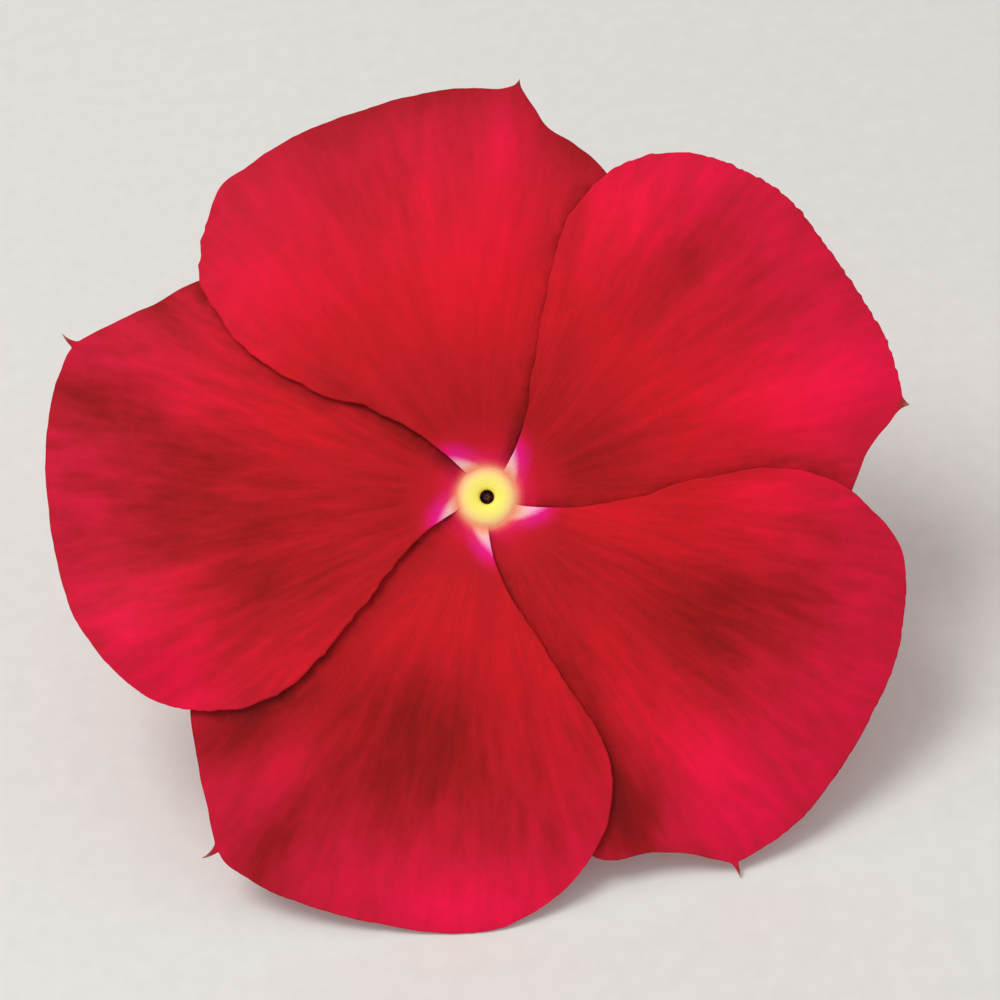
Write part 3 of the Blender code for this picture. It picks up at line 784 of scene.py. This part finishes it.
def tube_material():
    """Yellow eye, dark olive throat, and a pink skin outside that pales to green down the tube."""
    material, tree, skin = new_material("tube_skin", 0.5, 0.25)
    radius, height = axis_places(tree)
    fibres = use_group(tree, long_fibres, {"Across": 2600.0, "Along": 312.0, "Grain": 5200.0})
    streaks, grain = fibres["Streaks"], fibres["Fuzz"]
    eye = use_group(tree, eye_colours, {
        "From Eye": radius, "From Leading": attribute(tree, "from_leading"),
        "Flare": RIM_FLARE, "Streaks": grain,
    })["Colour"]
    down = maths(tree, "ADD", maths(tree, "DIVIDE", height, -TUBE_LENGTH), centred(tree, streaks, 0.16))
    outside = ramp(tree, down, (0.0, 232, 168, 158), (0.10, 214, 120, 118), (0.26, 206, 138, 122),
                   (0.42, 204, 166, 136), (0.70, 196, 184, 138), (1.0, 176, 184, 120))
    outside = mix_colours(tree, centred(tree, streaks, 0.9), outside, chip(176, 74, 84))
    colour = mix_colours(tree, map_range(tree, height, -0.10, -0.05), outside, eye)
    inside = ramp(tree, maths(tree, "MULTIPLY", height, -0.4), (0.0, 226, 196, 60), (0.25, 150, 104, 44),
                  (0.6, 130, 84, 60), (1.0, 130, 104, 60))
    bore = maths(tree, "MULTIPLY", map_range(tree, radius, 0.48, 0.62, 1.0, 0.0),
                 map_range(tree, height, -0.12, -0.02, 1.0, 0.0))
    colour = mix_colours(tree, bore, colour, inside)
    tree.links.new(colour, skin.inputs["Base Color"])
    bump(tree, skin, maths(tree, "ADD", streaks, maths(tree, "MULTIPLY", grain, 0.5)), 0.35, 0.06)
    return material


def mark_flares(mesh):
    """Stores each point's distance, clockwise, from the nearest leading margin of a petal."""
    points = mesh_points(mesh) / MM
    radius = np.hypot(points[:, 0], points[:, 1])
    direction = np.degrees(np.arctan2(points[:, 1], points[:, 0]))
    behind = []
    for name in PETALS:
        past = past_margin(name, direction, radius)
        behind.append(np.where(past > 0.0, CLEAR_OF_FLARES, -past))
    store(mesh, "from_leading", np.min(behind, axis=0))


tube = turned_mesh("tube", TUBE_PROFILE, TUBE_STEPS, TUBE_SAMPLES, RIB_COUNT, RIB_DEPTH, RIB_HEIGHTS)
mark_flares(tube)
place_piece("tube_and_eye", tube, tube_material(), "throat", "corolla_tube")


# ---- Stamens ----
# Five short stamens stand inside the swelling of the tube. Each is a grooved two-lobed anther on a
# filament that grows out of the wall, and their tips lean together just under the mouth.

STAMEN_COUNT = 5
ANTHER_FOOT = (0.92, -2.6)      # distance from the axis and height
ANTHER_TIP = (0.09, -0.66)
ANTHER_WIDTH = 0.52
ANTHER_TAPER = 0.45             # how much an anther narrows towards its tip
ANTHER_DEPTH = 0.34
ANTHER_GROOVE = 0.45            # depth of the groove between its two lobes
ANTHER_BLUNTNESS = 0.55         # below 1, its ends are blunt
ANTHER_END = 0.15               # thickness of an end, as a share of the filament's
FILAMENT_FOOT = (1.30, -3.9)
FILAMENT_RADIUS = 0.06
FILAMENT_SHARE = 0.3            # share of a stamen's rings that its filament takes
STAMEN_RINGS = 28
STAMEN_SIDES = 20


def anther_rings(centres, outward, across, half_depths, half_widths, groove):
    """Rings of points round a path, pinched by a groove down each face."""
    angle = 2 * math.pi * np.arange(STAMEN_SIDES) / STAMEN_SIDES
    pinch = 1.0 - groove[:, None] * np.cos(angle)[None] ** 6
    x = half_depths[:, None] * np.cos(angle)[None] * pinch
    y = half_widths[:, None] * np.sin(angle)[None]
    return centres[:, None] + x[..., None] * outward + y[..., None] * across


def stamen_mesh(number):
    direction = math.radians(360.0 * number / STAMEN_COUNT)
    out = np.array((math.cos(direction), math.sin(direction), 0.0))
    across = np.array((-out[1], out[0], 0.0))
    up = np.array((0.0, 0.0, 1.0))
    t = np.linspace(0.0, 1.0, STAMEN_RINGS)
    filament = t < FILAMENT_SHARE
    along = np.where(filament, t / FILAMENT_SHARE, (t - FILAMENT_SHARE) / (1.0 - FILAMENT_SHARE))
    start = np.where(filament[:, None], FILAMENT_FOOT, ANTHER_FOOT)
    end = np.where(filament[:, None], ANTHER_FOOT, ANTHER_TIP)
    spine = start + (end - start) * along[:, None]
    centres = spine[:, :1] * out + spine[:, 1:] * up
    swelling = np.sin(np.pi * np.clip(along * 0.94 + 0.03, 0, 1)) ** ANTHER_BLUNTNESS
    fullness = np.where(filament, 0.0, swelling)
    thinnest = FILAMENT_RADIUS * np.where(filament, 1.0, ANTHER_END)
    narrowing = 1.0 - ANTHER_TAPER * along ** 3
    half_depths = np.maximum(0.5 * ANTHER_DEPTH * fullness, thinnest)
    half_widths = np.maximum(0.5 * ANTHER_WIDTH * fullness * narrowing, thinnest)
    rings = anther_rings(centres, out, across, half_depths, half_widths, ANTHER_GROOVE * fullness)
    numbers = np.arange(STAMEN_RINGS * STAMEN_SIDES).reshape(STAMEN_RINGS, STAMEN_SIDES)
    wrapped = np.hstack([numbers, numbers[:, :1]])
    faces = squares(wrapped)[:, ::-1].tolist() + [numbers[0, ::-1].tolist(), numbers[-1].tolist()]
    return new_mesh("stamen", rings, faces)


anther_skin, tree, skin = new_material("anther_skin", 0.6, 0.3)
powder = noise(tree, own_place(tree), 9000.0, 3.0, 0.6)
tree.links.new(ramp(tree, powder, (0.3, 122, 88, 92), (0.5, 148, 106, 106), (0.7, 176, 130, 118)),
               skin.inputs["Base Color"])
bump(tree, skin, powder, 0.5, 0.03)
for number in range(STAMEN_COUNT):
    node = f"stamen_{number + 1}"
    place_piece(f"{node}_piece", stamen_mesh(number), anther_skin, "anther", node)


# ---- Pistil ----
# One pistil runs up the middle: an ovary in the foot of the tube, a thread of a style, and a
# drum-shaped head with a skirt, just below the anthers.

PISTIL_PROFILE = (
    (0.02, -3.55), (0.10, -3.60), (0.13, -3.78), (0.16, -3.92), (0.30, -4.02), (0.35, -4.15), (0.35, -4.45),
    (0.40, -4.62), (0.42, -4.74), (0.30, -4.76), (0.16, -4.78), (0.11, -4.95), (0.11, -8.0), (0.12, -16.0),
    (0.13, -21.0), (0.20, -21.4), (0.34, -21.9), (0.41, -22.4), (0.36, -22.8), (0.20, -22.98),
)
PISTIL_STEPS = 32
PISTIL_SAMPLES = 120
CARPELS = 2                     # the ovary is two carpels side by side
CARPEL_RIB = 0.12
OVARY_HEIGHTS = (-21.0, -21.8)  # the carpels swell apart between these heights

pistil_skin, tree, skin = new_material("pistil_skin", 0.55, 0.4)
radius, height = axis_places(tree)
speckle = noise(tree, own_place(tree), 6000.0, 3.0, 0.6)
down = maths(tree, "ADD", maths(tree, "DIVIDE", height, -TUBE_LENGTH), centred(tree, speckle, 0.03))
tree.links.new(ramp(tree, down, (0.15, 206, 198, 140), (0.2, 190, 196, 120), (0.24, 224, 222, 180),
                    (0.85, 206, 214, 150), (0.95, 140, 166, 80)), skin.inputs["Base Color"])
bump(tree, skin, speckle, 0.4, 0.03)
pistil = turned_mesh("pistil", PISTIL_PROFILE, PISTIL_STEPS, PISTIL_SAMPLES,
                     CARPELS, CARPEL_RIB, OVARY_HEIGHTS)
place_piece("pistil_piece", pistil, pistil_skin, "pistil", "pistil")


# ---- Calyx ----
# Five narrow green sepals stand round the foot of the tube. Each is a pointed blade with a keel down
# its back and a hollow towards the tube, and its foot runs down into the receptacle.

SEPAL_COUNT = 5
SEPAL_FIRST = 20.0              # direction of the first sepal, in degrees about the axis
SEPAL_FOOT = -23.45
SEPAL_TIP = -18.42
SEPAL_WIDTH = 1.10
SEPAL_REACH = (1.50, 1.62, 2.30)    # distance of the blade from the axis: foot, low and tip
SEPAL_ROWS = 46
SEPAL_COLUMNS = 24
SEPAL_THICKNESS = 0.26


def sepal_mesh(number):
    direction = SEPAL_FIRST + 360.0 * number / SEPAL_COUNT
    out = np.array((*polar(direction, 1.0), 0.0))
    across = np.array((-out[1], out[0], 0.0))
    t = np.linspace(0.0, 1.0, SEPAL_ROWS + 1)[:, None]
    s = np.linspace(-1.0, 1.0, SEPAL_COLUMNS + 1)[None]
    random = np.random.RandomState(60 + number)
    bend, twist, droop = random.uniform(-1, 1, 3)

    # Widest just above the foot, then narrowing to the tip, which leans out from the tube.
    half_width = 0.5 * SEPAL_WIDTH * (0.96 + 0.35 * t - 1.31 * t ** 1.9) + 0.02
    foot, low, tip = SEPAL_REACH
    reach = foot + (low - foot) * ease(t, 0.0, 0.25) + (tip - low + 0.2 * droop) * t ** 2.2
    hollow = 0.16 * (1.0 - t) + 0.05
    depth = reach - hollow * s ** 2 * (1.0 - 0.4 * t) + 0.05 * twist * s * t
    sideways = half_width * s + 0.22 * bend * t ** 2
    height = np.broadcast_to(SEPAL_FOOT + (SEPAL_TIP - SEPAL_FOOT) * t, sideways.shape)

    # Thick along the keel and thin at the sides, with a rounded edge.
    keel = 0.5 * SEPAL_THICKNESS * (1.0 - 0.55 * t) * (0.25 + 0.75 * np.exp(-(s / 0.45) ** 2))
    edge = np.sqrt(np.clip(1.0 - s ** 8, 0.0, 1.0)) * np.sqrt(np.clip(1.0 - t ** 30, 0.0, 1.0))
    grids = []
    for side in (1.0, -1.0):
        layer = depth + side * keel * edge * (1.0 if side > 0 else 0.55)
        grids.append(layer[..., None] * out + sideways[..., None] * across
                     + height[..., None] * np.array((0.0, 0.0, 1.0)))
    return blade_mesh("sepal", *grids, flipped=True)[0]


def green_group():
    """Soft hairy green skin: a blotched and streaked colour, and its relief."""
    tree, given, ends = new_group("hairy_green", [("Light", "Color"), ("Dark", "Color")],
                                  [("Colour", "Color"), ("Relief", "Float")])
    fibres = use_group(tree, long_fibres, {"Across": 3600.0, "Along": 540.0, "Grain": 9000.0})
    blotches = noise(tree, own_place(tree), 700.0)
    pattern = maths(tree, "ADD", maths(tree, "MULTIPLY", fibres["Streaks"], 0.6),
                    maths(tree, "MULTIPLY", blotches, 0.4))
    share = map_range(tree, pattern, 0.32, 0.68)
    colour = mix_colours(tree, share, given["Dark"], given["Light"])
    hairs = map_range(tree, fibres["Fuzz"], 0.55, 0.75, 0.0, 0.35)
    tree.links.new(mix_colours(tree, hairs, colour, chip(196, 208, 160)), ends["Colour"])
    tree.links.new(maths(tree, "ADD", fibres["Streaks"], maths(tree, "MULTIPLY", fibres["Fuzz"], 0.4)),
                   ends["Relief"])
    return tree


hairy_green = green_group()

sepal_green, tree, skin = new_material("sepal_green", 0.55, 0.35)
green = use_group(tree, hairy_green, {"Light": chip(142, 168, 84), "Dark": chip(88, 124, 48)})
browned = map_range(tree, axis_places(tree)[1], SEPAL_TIP - 0.9, SEPAL_TIP, 0.0, 0.75)
tree.links.new(mix_colours(tree, browned, green["Colour"], chip(132, 84, 58)), skin.inputs["Base Color"])
bump(tree, skin, green["Relief"], 0.5, 0.05)
for number in range(SEPAL_COUNT):
    node = f"sepal_{number + 1}"
    place_piece(f"{node}_blade", sepal_mesh(number), sepal_green, "calyx", node)


# ---- Receptacle and stalk ----
# The top of the stalk widens to a cup that holds the calyx and the tube. The stalk is cut square
# where the flower was picked.

STALK_PROFILE = (
    (0.90, -23.12), (1.12, -22.98), (1.32, -22.90), (1.50, -22.94), (1.61, -23.08), (1.61, -23.30),
    (1.50, -23.64), (1.28, -24.02), (1.02, -24.42), (0.80, -24.86), (0.65, -25.36), (0.56, -26.0),
    (0.52, -26.6), (0.53, -27.2), (0.54, -27.44), (0.50, -27.50), (0.44, -27.49), (0.30, -27.47),
    (0.10, -27.46),
)
STALK_STEPS = 80
STALK_SAMPLES = 110
STALK_CUT = -27.42              # height of the cut end's rim
RIDGE_DEPTH = 0.03              # a low ridge runs down from each sepal
RIDGE_HEIGHTS = (-23.0, -24.5)

stalk_green, tree, skin = new_material("stalk_green", 0.55, 0.35)
green = use_group(tree, hairy_green, {"Light": chip(138, 160, 78), "Dark": chip(92, 122, 50)})
radius, height = axis_places(tree)
pith = ramp(tree, maths(tree, "MULTIPLY", radius, 1.8), (0.0, 196, 200, 150), (0.55, 206, 206, 150),
            (0.75, 130, 140, 80), (1.0, 108, 96, 56))
cut = map_range(tree, height, STALK_CUT - 0.05, STALK_CUT, 1.0, 0.0)
tree.links.new(mix_colours(tree, cut, green["Colour"], pith), skin.inputs["Base Color"])
bump(tree, skin, green["Relief"], 0.5, 0.05)
stalk = turned_mesh("stalk", STALK_PROFILE, STALK_STEPS, STALK_SAMPLES,
                    SEPAL_COUNT, RIDGE_DEPTH, RIDGE_HEIGHTS, SEPAL_FIRST)
place_piece("receptacle_and_stalk", stalk, stalk_green, "stalk", "pedicel")


# ---- Table and light ----
# A plain pale table, one large soft lamp above the flower to the left, and even light from all round.

TABLE_HALF = 2.0
LAMP_PLACE = (-150.0, 200.0, 250.0)     # from the eye: right, up and out of the face
LAMP_SIZE = 0.16
LAMP_POWER = 0.70
ROUND_LIGHT = 0.62

table_mesh = bpy.data.meshes.new("table")
table_corners = [(x * TABLE_HALF, y * TABLE_HALF, 0.0) for x, y in ((-1, -1), (1, -1), (1, 1), (-1, 1))]
table_mesh.from_pydata(table_corners, [], [(0, 1, 2, 3)])
table = bpy.data.objects.new("table", table_mesh)
scene.collection.objects.link(table)
material, tree, skin = new_material("table_top", 0.8, 0.3)
paper = noise(tree, add_node(tree, "ShaderNodeTexCoord").outputs["Object"], 700.0, 3.0)
tree.links.new(ramp(tree, paper, (0.3, 217, 215, 211), (0.7, 221, 219, 215)), skin.inputs["Base Color"])
table_mesh.materials.append(material)

world = bpy.data.worlds.new("studio")
scene.world = world
world.use_nodes = True
background = world.node_tree.nodes["Background"]
background.inputs["Color"].default_value = (1.0, 1.0, 1.0, 1.0)
background.inputs["Strength"].default_value = ROUND_LIGHT

lamp = bpy.data.lights.new("lamp", "AREA")
lamp.energy = LAMP_POWER
lamp.size = LAMP_SIZE
lamp_object = bpy.data.objects.new("lamp", lamp)
scene.collection.objects.link(lamp_object)
lamp_place = flower @ (Vector(LAMP_PLACE) * MM)
facing = (flower.translation - lamp_place).to_track_quat("-Z", "Y").to_matrix().to_4x4()
lamp_object.matrix_world = Matrix.Translation(lamp_place) @ facing

scene.view_settings.view_transform = "Standard"
